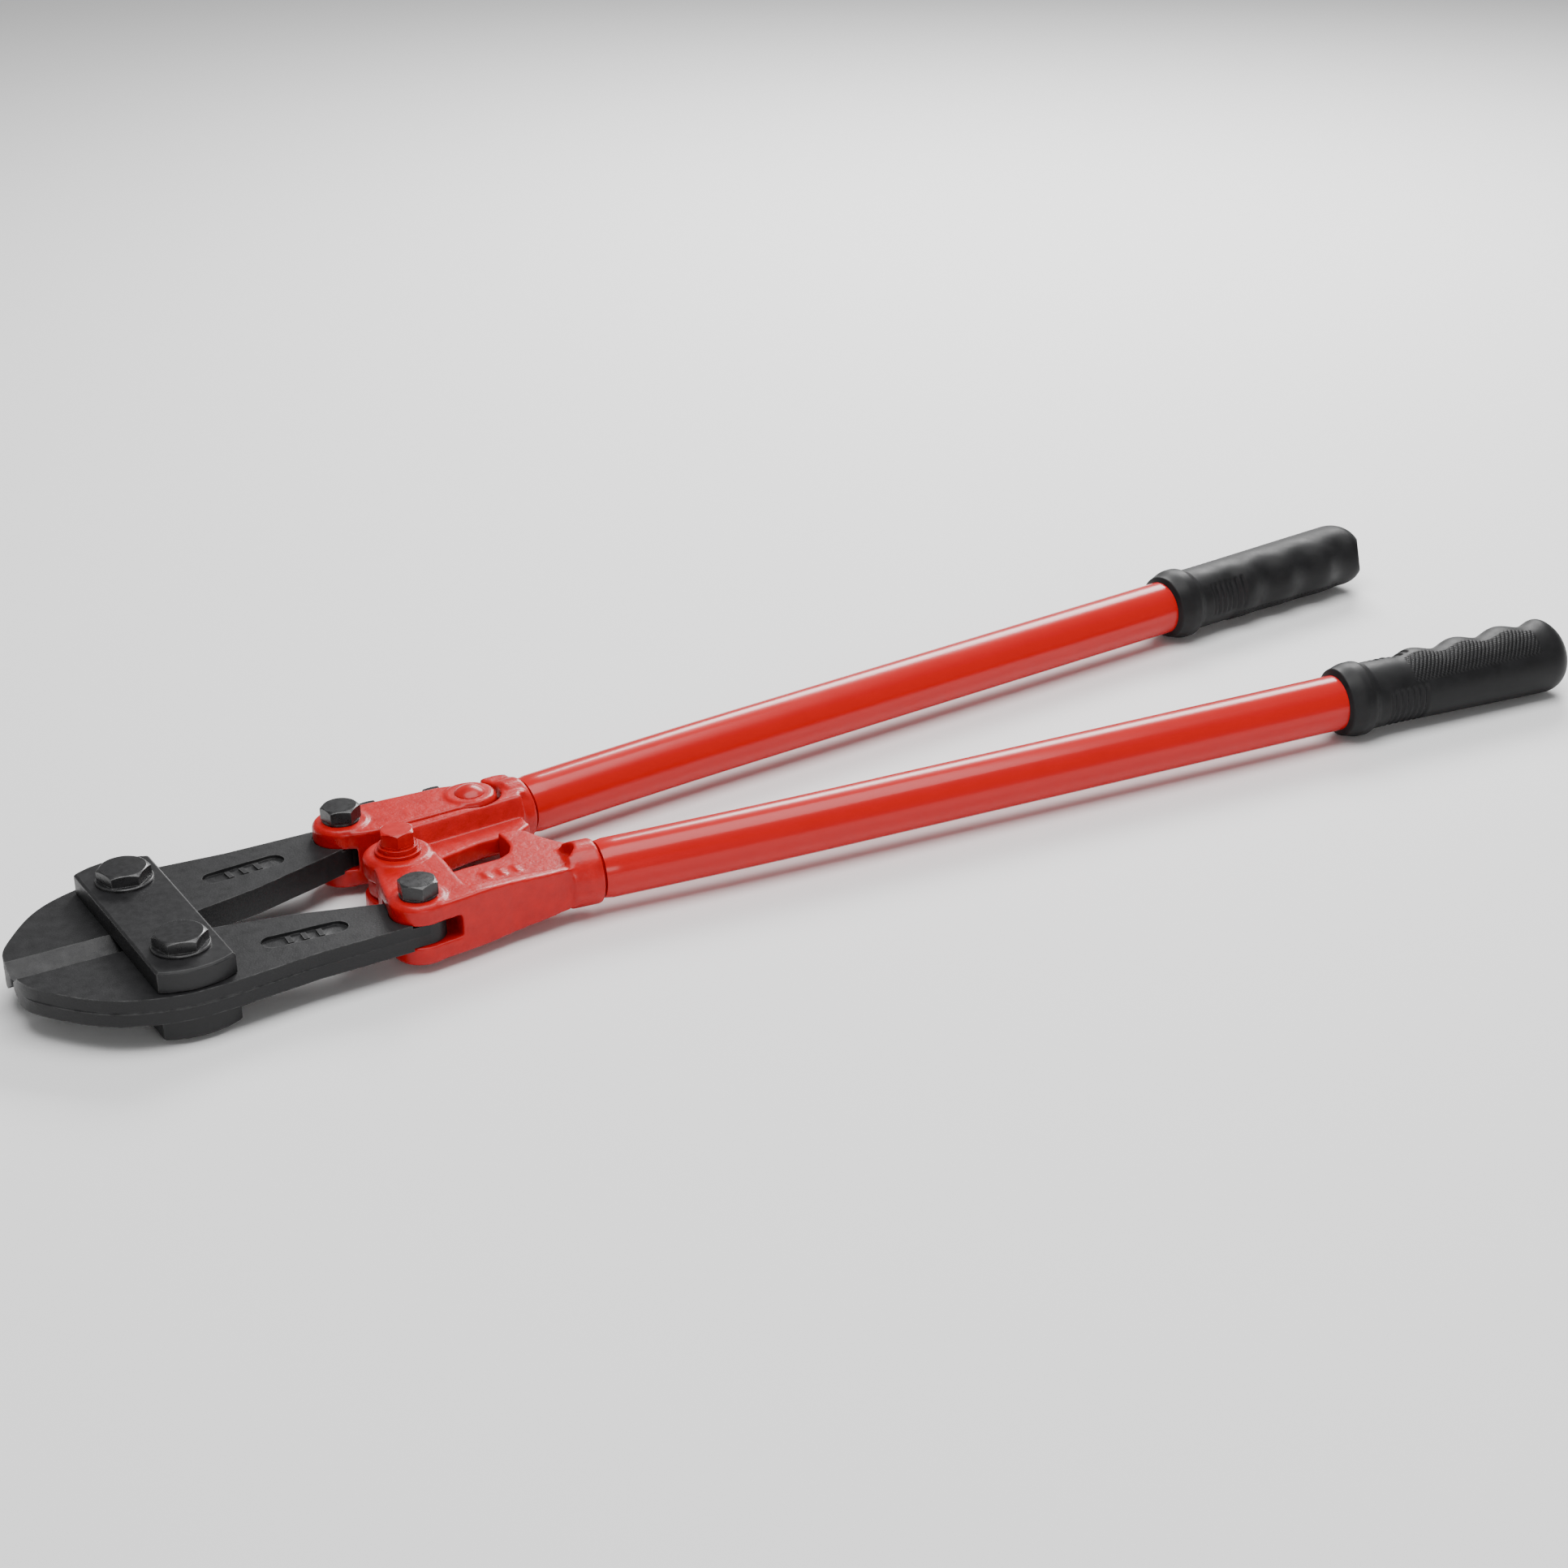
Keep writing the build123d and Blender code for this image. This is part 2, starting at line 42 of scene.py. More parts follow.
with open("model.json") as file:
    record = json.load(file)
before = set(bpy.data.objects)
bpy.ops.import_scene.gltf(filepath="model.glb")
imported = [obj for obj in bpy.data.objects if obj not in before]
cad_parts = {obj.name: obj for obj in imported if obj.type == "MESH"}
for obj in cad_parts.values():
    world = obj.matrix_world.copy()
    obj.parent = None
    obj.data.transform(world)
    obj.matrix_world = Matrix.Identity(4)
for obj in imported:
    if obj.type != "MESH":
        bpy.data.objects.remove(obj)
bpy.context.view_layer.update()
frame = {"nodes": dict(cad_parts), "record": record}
NODES = frame["nodes"]
MM = 0.001
AXIS_Z = 0.0186  # mid-height of the blades, forgings and tubes
JAW_BOLT = (-0.3252, 0.0358)  # right-hand jaw bolt's axis, seen from above
PARTING_HALF = 0.55 * MM
PARTING_END_X = -0.245
PARTING_CLEARANCE = 9 * MM  # kept clear round the jaw bolt
OUTER_WALL = 0.35  # least sideways part of an outer wall's normal
RECESS_FLOOR = 4.7 * MM  # above and below mid-height
SAME_HEIGHT = 0.05 * MM
EDGE_ANGLE = 24  # degrees between faces that makes an edge

# Where each CAD node rides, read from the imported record.
BODY_OF = {node: body
           for body, nodes in frame["record"]["behaviour"]["bodies"].items() for node in nodes}
SLOT_OF = {part["node"]: part["material_slot"] for part in frame["record"]["subparts"]}
CASTINGS = ("left_fork", "right_fork", "adjusting_arm")


# ---- sizes and colours a user would change -------------------------------------------------
class PaintColours(bpy.types.PropertyGroup):
    red: bpy.props.FloatVectorProperty(
        name="Red", description="Paint on the forgings and tubes", subtype="COLOR", size=3,
        default=(0.50, 0.002, 0.003))
    red_shade: bpy.props.FloatVectorProperty(
        name="Red shade", description="Thicker paint in the hollows", subtype="COLOR", size=3,
        default=(0.36, 0.002, 0.003))
    black_steel: bpy.props.FloatVectorProperty(
        name="Black steel", description="Oxide skin on the blades and straps", subtype="COLOR",
        size=3, default=(0.014, 0.014, 0.015))
    worn_steel: bpy.props.FloatVectorProperty(
        name="Worn steel", description="Steel where the skin has rubbed through",
        subtype="COLOR", size=3, default=(0.10, 0.10, 0.10))
    rubber: bpy.props.FloatVectorProperty(
        name="Rubber", description="Moulded grips", subtype="COLOR", size=3,
        default=(0.006, 0.006, 0.0065))


class EdgeSizes(bpy.types.PropertyGroup):
    machined: bpy.props.FloatProperty(
        name="Machined edge", description="Rounding on straps and fasteners", unit="LENGTH",
        default=0.3 * MM)
    forged: bpy.props.FloatProperty(
        name="Forged edge", description="Rounding on the blades", unit="LENGTH",
        default=0.6 * MM)
    cast_grid: bpy.props.FloatProperty(
        name="Casting grid", description="Mesh size of the castings", unit="LENGTH",
        default=0.62 * MM)
    cast_rounding: bpy.props.IntProperty(
        name="Casting rounding", description="How far a casting's edges are eased", default=14)
    parting_line: bpy.props.FloatProperty(
        name="Parting line", description="Height of the flash line round the blades",
        unit="LENGTH", default=0.4 * MM)


class TubeSizes(bpy.types.PropertyGroup):
    radius: bpy.props.FloatProperty(
        name="Radius", description="Outside radius of a tube", unit="LENGTH", default=13.7 * MM)
    segments: bpy.props.IntProperty(
        name="Segments", description="Faces round a tube", default=96)
    rings: bpy.props.IntProperty(
        name="Rings", description="Rings along a tube", default=120)


class GripSizes(bpy.types.PropertyGroup):
    segments: bpy.props.IntProperty(
        name="Segments", description="Faces round a grip", default=264)
    rings: bpy.props.IntProperty(
        name="Rings", description="Rings along a grip", default=350)
    wave: bpy.props.FloatProperty(
        name="Finger wave", description="Height of the waves between fingers", unit="LENGTH",
        default=1.5 * MM)
    rib: bpy.props.FloatProperty(
        name="Rib", description="Height of the thumb ribs", unit="LENGTH", default=0.8 * MM)
    knurl: bpy.props.FloatProperty(
        name="Knurl", description="Height of the diamond panel's points", unit="LENGTH",
        default=0.6 * MM)
    knurl_pitch: bpy.props.FloatProperty(
        name="Knurl pitch", description="Spacing of the diamond panel's points", unit="LENGTH",
        default=2.3 * MM)


class StageSizes(bpy.types.PropertyGroup):
    azimuth: bpy.props.FloatProperty(
        name="Azimuth", description="Camera's turn round the tool", subtype="ANGLE",
        default=radians(28.63))
    elevation: bpy.props.FloatProperty(
        name="Elevation", description="Camera's height above the bench", subtype="ANGLE",
        default=radians(25.51))
    roll: bpy.props.FloatProperty(
        name="Roll", description="Camera's tilt about its own view", subtype="ANGLE",
        default=radians(-1.83))
    distance: bpy.props.FloatProperty(
        name="Distance", description="Camera to its target", unit="LENGTH", default=1.545)
    lens: bpy.props.FloatProperty(
        name="Lens", description="Focal length in millimetres", default=75.32)
    target: bpy.props.FloatVectorProperty(
        name="Target", description="Point the camera looks at", subtype="XYZ", size=3,
        default=(-0.0176, -0.0066, 0.0186))


# ---- mesh helpers ---------------------------------------------------------------------------
def add_piece(name, mesh, node, material):
    """Link a finished mesh that stands for a CAD node and rides on that node's body."""
    piece = bpy.data.objects.new(name, mesh)
    bpy.context.scene.collection.objects.link(piece)
    mesh.materials.clear()
    mesh.materials.append(material)
    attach(piece, BODY_OF[node])
    return piece


def on_recess_floor(vert):
    return abs(abs(vert.co.z - AXIS_Z) - RECESS_FLOOR) < SAME_HEIGHT


def merged_mesh(node, name, flatten):
    """A copy of a CAD node's mesh, its loose triangles joined into flat faces if asked."""
    shape = bmesh.new()
    shape.from_mesh(NODES[node].data)
    bmesh.ops.remove_doubles(shape, verts=shape.verts[:], dist=0.002 * MM)
    if flatten:
        verts = [vert for vert in shape.verts if not on_recess_floor(vert)]
        edges = [edge for edge in shape.edges if not all(map(on_recess_floor, edge.verts))]
        bmesh.ops.dissolve_limit(shape, angle_limit=radians(0.4), verts=verts, edges=edges,
                                 use_dissolve_boundaries=False, delimit=set())
    mesh = bpy.data.meshes.new(name)
    shape.to_mesh(mesh)
    shape.free()
    return mesh


def shade_by_angle(mesh, degrees_apart):
    """Smooth shading, kept crisp at edges sharper than an angle."""
    mesh.polygons.foreach_set("use_smooth", [True] * len(mesh.polygons))
    mesh.set_sharp_from_angle(angle=radians(degrees_apart))


def add_bevel(piece, width, segments=3):
    bevel = piece.modifiers.new("Eased edges", "BEVEL")
    bevel.width = width
    bevel.segments = segments
    bevel.limit_method = "ANGLE"
    bevel.angle_limit = radians(EDGE_ANGLE)
    bevel.harden_normals = True
    bevel.miter_outer = "MITER_ARC"


def eased_piece(node, width, material):
    """A node's own shape with its edges eased."""
    mesh = merged_mesh(node, node + "_finished", True)
    shade_by_angle(mesh, EDGE_ANGLE)
    piece = add_piece(node + "_finished", mesh, node, material)
    add_bevel(piece, width)
    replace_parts(piece, node)
    return piece


def raise_parting_line(mesh, side, height):
    """Pull a thin flash line out of a blade's outer wall at mid-height."""
    shape = bmesh.new()
    shape.from_mesh(mesh)
    for level in (-PARTING_HALF, 0.0, PARTING_HALF):
        everything = shape.verts[:] + shape.edges[:] + shape.faces[:]
        bmesh.ops.bisect_plane(shape, geom=everything, plane_co=(0, 0, AXIS_Z + level),
                               plane_no=(0, 0, 1))
    shape.normal_update()
    for vert in shape.verts:
        from_bolt = Vector((vert.co.x - JAW_BOLT[0], side * vert.co.y - JAW_BOLT[1])).length
        on_line = abs(vert.co.z - AXIS_Z) < 0.01 * MM and vert.co.x < PARTING_END_X
        on_outside = from_bolt > PARTING_CLEARANCE and side * vert.normal.y > OUTER_WALL
        if on_line and on_outside:
            vert.co += height * Vector((vert.normal.x, vert.normal.y, 0)).normalized()
    shape.to_mesh(mesh)
    shape.free()


def cast_piece(node, grid, rounding, material):
    """A casting: the node's shape on a fine even mesh, with every edge and corner eased."""
    mesh = merged_mesh(node, node + "_casting", False)
    piece = add_piece(node + "_casting", mesh, node, material)
    remesh = piece.modifiers.new("Even skin", "REMESH")
    remesh.mode = "VOXEL"
    remesh.voxel_size = grid
    remesh.use_smooth_shade = True
    smooth = piece.modifiers.new("Eased edges", "SMOOTH")
    smooth.factor = 0.5
    smooth.iterations = rounding
    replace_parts(piece, node)


def unit_tube(segments, rings):
    """An open tube of radius 1 from x = 0 to x = 1, with even rings."""
    shape = bmesh.new()
    bmesh.ops.create_cone(shape, cap_ends=False, segments=segments, radius1=1, radius2=1, depth=1)
    bmesh.ops.translate(shape, verts=shape.verts[:], vec=(0, 0, 0.5))
    bmesh.ops.rotate(shape, verts=shape.verts[:], cent=(0, 0, 0),
                     matrix=Matrix.Rotation(pi / 2, 3, "Y"))
    lengthwise = [edge for edge in shape.edges
                  if abs(edge.verts[0].co.x - edge.verts[1].co.x) > 0.5]
    bmesh.ops.subdivide_edges(shape, edges=lengthwise, cuts=rings, use_grid_fill=True)
    return shape


def close_ends(shape):
    """Fill both open ends and turn every face outwards."""
    open_edges = [edge for edge in shape.edges if edge.is_boundary]
    bmesh.ops.holes_fill(shape, edges=open_edges, sides=0)
    bmesh.ops.recalc_face_normals(shape, faces=shape.faces[:])


def mesh_from(shape, name):
    mesh = bpy.data.meshes.new(name)
    shape.to_mesh(mesh)
    shape.free()
    return mesh


def ease(value, low, high):
    """0 below low, 1 above high, and a smooth rise between them."""
    part = min(max((value - low) / (high - low), 0.0), 1.0)
    return part * part * (3 - 2 * part)


# ---- shader node groups ---------------------------------------------------------------------
MOTTLE_GAIN, MOTTLE_SHIFT = 2.4, -0.7
RUB_RADIUS = 0.9 * MM
RUB_GAIN = 9.0
PATCH_LEVEL, PATCH_GAIN = 0.42, 5.0


def new_group(name, inputs, outputs):
    """An empty shader group with named sockets, given as (name, type, default)."""
    group = bpy.data.node_groups.new(name, "ShaderNodeTree")
    for label, kind, default in inputs:
        socket = group.interface.new_socket(name=label, in_out="INPUT", socket_type=kind)
        socket.default_value = default
    for label, kind in outputs:
        group.interface.new_socket(name=label, in_out="OUTPUT", socket_type=kind)
    return group, group.nodes.new("NodeGroupInput"), group.nodes.new("NodeGroupOutput")


def noise_node(tree, coordinates, scale, detail, roughness=0.55):
    node = tree.nodes.new("ShaderNodeTexNoise")
    node.inputs["Detail"].default_value = detail
    node.inputs["Roughness"].default_value = roughness
    if isinstance(scale, float):
        node.inputs["Scale"].default_value = scale
    else:
        tree.links.new(scale, node.inputs["Scale"])
    tree.links.new(coordinates, node.inputs["Vector"])
    return node


def math_node(tree, operation, first, second=0.5, clamp=False):
    node = tree.nodes.new("ShaderNodeMath")
    node.operation = operation
    node.use_clamp = clamp
    for socket, value in zip(node.inputs, (first, second)):
        if isinstance(value, (int, float)):
            socket.default_value = value
        else:
            tree.links.new(value, socket)
    return node.outputs[0]


def grain_group():
    """A skin of fine grain over slower lumps, for cast, painted and moulded surfaces."""
    group, start, end = new_group(
        "Surface Grain",
        [("Fine Scale", "NodeSocketFloat", 900.0), ("Lump Scale", "NodeSocketFloat", 160.0),
         ("Lump Share", "NodeSocketFloat", 0.5)],
        [("Height", "NodeSocketFloat"), ("Mottle", "NodeSocketFloat")])
    place = group.nodes.new("ShaderNodeTexCoord").outputs["Object"]
    fine = noise_node(group, place, start.outputs["Fine Scale"], 3.0)
    lumps = noise_node(group, place, start.outputs["Lump Scale"], 4.0, 0.6)
    share = start.outputs["Lump Share"]
    lump_part = math_node(group, "MULTIPLY", lumps.outputs["Fac"], share)
    fine_share = math_node(group, "SUBTRACT", 1.0, share)
    fine_part = math_node(group, "MULTIPLY", fine.outputs["Fac"], fine_share)
    group.links.new(math_node(group, "ADD", lump_part, fine_part), end.inputs["Height"])
    mottle = math_node(group, "MULTIPLY_ADD", lumps.outputs["Fac"], MOTTLE_GAIN, clamp=True)
    mottle.node.inputs[2].default_value = MOTTLE_SHIFT
    group.links.new(mottle, end.inputs["Mottle"])
    return group


def wear_group():
    """Where edges have rubbed: a rounded normal that leaves the true one, broken by noise."""
    group, start, end = new_group(
        "Edge Wear",
        [("Amount", "NodeSocketFloat", 0.5), ("Break Up", "NodeSocketFloat", 120.0)],
        [("Mask", "NodeSocketFloat")])
    rounded = group.nodes.new("ShaderNodeBevel")
    rounded.samples = 4
    rounded.inputs["Radius"].default_value = RUB_RADIUS
    true_normal = group.nodes.new("ShaderNodeNewGeometry").outputs["Normal"]
    dot = group.nodes.new("ShaderNodeVectorMath")
    dot.operation = "DOT_PRODUCT"
    group.links.new(rounded.outputs["Normal"], dot.inputs[0])
    group.links.new(true_normal, dot.inputs[1])
    leaving = math_node(group, "SUBTRACT", 1.0, dot.outputs["Value"])
    edge = math_node(group, "MULTIPLY", leaving, RUB_GAIN, clamp=True)
    place = group.nodes.new("ShaderNodeTexCoord").outputs["Object"]
    breaks = noise_node(group, place, start.outputs["Break Up"], 5.0, 0.65)
    lifted = math_node(group, "SUBTRACT", breaks.outputs["Fac"], PATCH_LEVEL)
    patches = math_node(group, "MULTIPLY", lifted, PATCH_GAIN, clamp=True)
    worn = math_node(group, "MULTIPLY", edge, patches)
    group.links.new(math_node(group, "MULTIPLY", worn, start.outputs["Amount"], clamp=True),
                    end.inputs["Mask"])
    return group


GROUPS = {}


def placed_group(tree, name, maker, values):
    """Put a shared group in a material with its own values."""
    if name not in GROUPS:
        GROUPS[name] = maker()
    node = tree.nodes.new("ShaderNodeGroup")
    node.node_tree = GROUPS[name]
    for label, value in values.items():
        node.inputs[label].default_value = value
    return node


# ---- materials --------------------------------------------------------------------------------
def blank_material(name):
    material = bpy.data.materials.new(name)
    material.use_nodes = True
    return material, material.node_tree, material.node_tree.nodes["Principled BSDF"]


def mixed_colour(tree, mask, first, second):
    mix = tree.nodes.new("ShaderNodeMix")
    mix.data_type = "RGBA"
    tree.links.new(mask, mix.inputs["Factor"])
    for label, value in (("A", first), ("B", second)):
        socket = [s for s in mix.inputs if s.name == label and s.type == "RGBA"][0]
        if isinstance(value, bpy.types.NodeSocket):
            tree.links.new(value, socket)
        else:
            socket.default_value = (*value, 1.0)
    return [s for s in mix.outputs if s.type == "RGBA"][0]


def ranged(tree, mask, low, high):
    """A mask spread between two values."""
    node = tree.nodes.new("ShaderNodeMapRange")
    node.inputs["To Min"].default_value = low
    node.inputs["To Max"].default_value = high
    tree.links.new(mask, node.inputs["Value"])
    return node.outputs["Result"]


def bump_from(tree, height, distance, strength, shader):
    bump = tree.nodes.new("ShaderNodeBump")
    bump.inputs["Distance"].default_value = distance
    bump.inputs["Strength"].default_value = strength
    tree.links.new(height, bump.inputs["Height"])
    tree.links.new(bump.outputs["Normal"], shader.inputs["Normal"])


def painted(name, grain, bump_depth, roughness, coat, pooling):
    """Red paint: colour pooled in the mottle, and the skin beneath showing through as bump."""
    colours = bpy.context.scene.cutter_colours
    material, tree, shader = blank_material(name)
    skin = placed_group(tree, "Surface Grain", grain_group, grain)
    pooled = Vector(colours.red).lerp(Vector(colours.red_shade), pooling)
    tint = mixed_colour(tree, skin.outputs["Mottle"], pooled, colours.red)
    tree.links.new(tint, shader.inputs["Base Color"])
    tree.links.new(ranged(tree, skin.outputs["Mottle"], *roughness), shader.inputs["Roughness"])
    shader.inputs["Specular IOR Level"].default_value = 0.24
    shader.inputs["Coat Weight"].default_value = coat
    shader.inputs["Coat Roughness"].default_value = 0.12
    bump_from(tree, skin.outputs["Height"], bump_depth, 0.6, shader)
    return material


def cast_paint():
    return painted("Red paint on casting",
                   {"Fine Scale": 480.0, "Lump Scale": 170.0, "Lump Share": 0.68},
                   0.75 * MM, (0.32, 0.42), 0.15, 0.8)


def tube_paint():
    return painted("Red gloss on tube",
                   {"Fine Scale": 420.0, "Lump Scale": 60.0, "Lump Share": 0.3},
                   0.012 * MM, (0.24, 0.27), 0.22, 0.15)


def bolt_paint():
    return painted("Red paint on bolt",
                   {"Fine Scale": 700.0, "Lump Scale": 260.0, "Lump Share": 0.5},
                   0.12 * MM, (0.30, 0.40), 0.2, 0.8)


def black_skin(name, grain, bump_depth, roughness, wear, sheen):
    """Black oxide on steel, mottled, with the edges rubbed lighter."""
    colours = bpy.context.scene.cutter_colours
    material, tree, shader = blank_material(name)
    skin = placed_group(tree, "Surface Grain", grain_group, grain)
    worn = placed_group(tree, "Edge Wear", wear_group, wear)
    deep = [channel * 0.72 for channel in colours.black_steel]
    mottled = mixed_colour(tree, skin.outputs["Mottle"], deep, colours.black_steel)
    tint = mixed_colour(tree, worn.outputs["Mask"], mottled, colours.worn_steel)
    tree.links.new(tint, shader.inputs["Base Color"])
    tree.links.new(ranged(tree, skin.outputs["Mottle"], *roughness), shader.inputs["Roughness"])
    shader.inputs["Specular IOR Level"].default_value = sheen
    bump_from(tree, skin.outputs["Height"], bump_depth, 0.55, shader)
    return material


def forged_black():
    return black_skin("Black forged steel",
                      {"Fine Scale": 1100.0, "Lump Scale": 210.0, "Lump Share": 0.35},
                      0.22 * MM, (0.40, 0.54), {"Amount": 0.8, "Break Up": 140.0}, 0.3)


def strap_black():
    return black_skin("Black strap steel",
                      {"Fine Scale": 1300.0, "Lump Scale": 300.0, "Lump Share": 0.3},
                      0.07 * MM, (0.36, 0.48), {"Amount": 0.9, "Break Up": 160.0}, 0.32)


def bolt_black():
    return black_skin("Black oxide fastener",
                      {"Fine Scale": 1500.0, "Lump Scale": 380.0, "Lump Share": 0.4},
                      0.05 * MM, (0.24, 0.36), {"Amount": 0.9, "Break Up": 220.0}, 0.5)


def grip_rubber():
    colours = bpy.context.scene.cutter_colours
    material, tree, shader = blank_material("Moulded rubber")
    skin = placed_group(tree, "Surface Grain", grain_group,
                        {"Fine Scale": 1600.0, "Lump Scale": 140.0, "Lump Share": 0.25})
    dusty = [channel * 1.7 for channel in colours.rubber]
    tint = mixed_colour(tree, skin.outputs["Mottle"], colours.rubber, dusty)
    tree.links.new(tint, shader.inputs["Base Color"])
    tree.links.new(ranged(tree, skin.outputs["Mottle"], 0.44, 0.56), shader.inputs["Roughness"])
    shader.inputs["Specular IOR Level"].default_value = 0.24
    bump_from(tree, skin.outputs["Height"], 0.05 * MM, 0.5, shader)
    return material


def studio_floor():
    material, _, shader = blank_material("Studio floor")
    shader.inputs["Base Color"].default_value = (0.86, 0.86, 0.86, 1.0)
    shader.inputs["Roughness"].default_value = 0.7
    return material


# ---- handles ----------------------------------------------------------------------------------
COLLAR_X = -0.1327
COLLAR_Y = 0.0386
FRONT_SLOPE = 0.115  # sideways run of the tube's axis, ahead of and behind its bend
REAR_SLOPE = 0.082
BEND_X = -0.0568
BEND_REACH = 0.052
SEAM = 1.2 * MM  # left open at each end of a tube
ROLLED_LENGTH, ROLLED_SHARE = 1.6 * MM, 0.05
TUBE_EDGE_ANGLE = 40

GRIP_START = 0.2553
GRIP_LENGTH = 134.2 * MM
NECK_WIDTH, NECK_HEIGHT = 16.6 * MM, 15.9 * MM  # half sizes just behind the collar
INNER_GROWTH, OUTER_GROWTH, HEIGHT_GROWTH = 1.6 * MM, 1.9 * MM, 0.6 * MM
GROWTH_START = 20 * MM
COLLAR_WIDTH, COLLAR_HEIGHT = 1.8 * MM, 2.3 * MM
SQUARENESS = 2.08  # 2 is an ellipse, and more is squarer
FINGER_PITCH, FIRST_CREST = 26 * MM, 48 * MM
RIB_PITCH = 3.5 * MM
LIP_RADIUS, LIP_LENGTH = 13.9 * MM, 1.4 * MM
BULB, BULB_POWER, BULB_TIP = 15.0 * MM, 2.3, 0.06
CUT_ANGLE, CUT_SETBACK = radians(42), 4.0 * MM

# How each feature comes and goes along a grip: where it rises, then where it dies away.
COLLAR_SPAN = (0.0, 9 * MM), (12 * MM, 17.5 * MM)
WAVE_SPAN = (30 * MM, 42 * MM), (122 * MM, 132 * MM)
RIB_SPAN = (22 * MM, 24 * MM), (44 * MM, 46 * MM)
KNURL_SPAN = (38 * MM, 40 * MM), (112 * MM, 114 * MM)

# Each grip's side of the tool, its roll on the tube, and the face with the knurl: 1 up, -1 down.
GRIPS = {"right_grip": (1, radians(-12), -1), "left_grip": (-1, radians(-50), 1)}


def axis_point(x):
    """Sideways place and slope of the right tube's axis at a distance along the tool."""
    bend_y = COLLAR_Y + FRONT_SLOPE * (BEND_X - COLLAR_X)
    if x < BEND_X - BEND_REACH:
        return bend_y + FRONT_SLOPE * (x - BEND_X), FRONT_SLOPE
    if x > BEND_X + BEND_REACH:
        return bend_y + REAR_SLOPE * (x - BEND_X), REAR_SLOPE
    part = (x - BEND_X + BEND_REACH) / (2 * BEND_REACH)
    slope = FRONT_SLOPE + (REAR_SLOPE - FRONT_SLOPE) * part
    start_y = bend_y - FRONT_SLOPE * BEND_REACH
    travelled = part * 2 * BEND_REACH
    return start_y + travelled * (FRONT_SLOPE + slope) / 2, slope


def laid_on_axis(x, across, up, side):
    """A point given by its distance along the tube's axis and its offsets from it."""
    y, slope = axis_point(x)
    length = sqrt(1 + slope * slope)
    return Vector((x - across * slope / length, side * (y + across / length), AXIS_Z + up))


def tube_mesh(side, name):
    """A straight-walled tube that follows the bent axis, with a rolled front edge."""
    sizes = bpy.context.scene.cutter_tubes
    shape = unit_tube(sizes.segments, sizes.rings)
    start = COLLAR_X + SEAM
    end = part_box("right_tube")[1][0] - SEAM
    for vert in shape.verts:
        x = start + (end - start) * vert.co.x
        roll = 1.0 - ROLLED_SHARE * (1 - ease(x, start, start + ROLLED_LENGTH))
        across = sizes.radius * vert.co.y * roll
        up = sizes.radius * vert.co.z * roll
        vert.co = laid_on_axis(x, across, up, side)
    close_ends(shape)
    mesh = mesh_from(shape, name)
    shade_by_angle(mesh, TUBE_EDGE_ANGLE)
    return mesh


def window(value, span):
    """1 inside a span and 0 outside it, with a smooth ramp at each end."""
    rise, fall = span
    return ease(value, *rise) * (1 - ease(value, *fall))


def finger_wave(along):
    return cos(tau * (along - FIRST_CREST) / FINGER_PITCH)


def grip_radius(along, angle, sizes):
    """How far the rubber stands from the tube's axis, in metres, at a place on its skin."""
    outward = cos(angle)
    collar = window(along, COLLAR_SPAN)
    growth = ease(along, GROWTH_START, GRIP_LENGTH)
    inner = NECK_WIDTH + INNER_GROWTH * growth
    outer = NECK_WIDTH + OUTER_GROWTH * growth
    inner += sizes.wave * window(along, WAVE_SPAN) * finger_wave(along)
    half_width = outer if outward > 0 else inner
    half_width += COLLAR_WIDTH * collar
    half_height = NECK_HEIGHT + HEIGHT_GROWTH * growth + COLLAR_HEIGHT * collar
    spread = (abs(outward) / half_width) ** SQUARENESS
    spread += (abs(sin(angle)) / half_height) ** SQUARENESS
    return spread ** (-1 / SQUARENESS)


def rib_height(along, angle, sizes):
    """Ribs sunk into the thumb and finger sides, just behind the collar."""
    thumb_side = ease(cos(angle), 0.2, 0.4)
    finger_side = ease(-cos(angle), 0.84, 0.92)
    ridge = 0.5 + 0.5 * cos(tau * along / RIB_PITCH)
    return -sizes.rib * window(along, RIB_SPAN) * (thumb_side + finger_side) * (1 - ridge)


def knurl_height(along, across, facing, sizes):
    """Rows of small diamonds on one face, inside a panel with a wavy edge."""
    upper_edge = -13.0 * MM - 1.3 * MM * finger_wave(along)
    inside = window(along, KNURL_SPAN)
    inside *= ease(across, upper_edge, upper_edge + 1.0 * MM)
    inside *= 1 - ease(across, 2.0 * MM, 3.0 * MM)
    inside *= ease(facing, 0.3, 0.4)
    first = cos(pi * (along + 0.62 * across) / sizes.knurl_pitch)
    second = cos(pi * (along - 1.5 * across) / sizes.knurl_pitch)
    point = min(abs(first), abs(second))
    return inside * sizes.knurl * (ease(point, 0.12, 0.6) - 0.35)


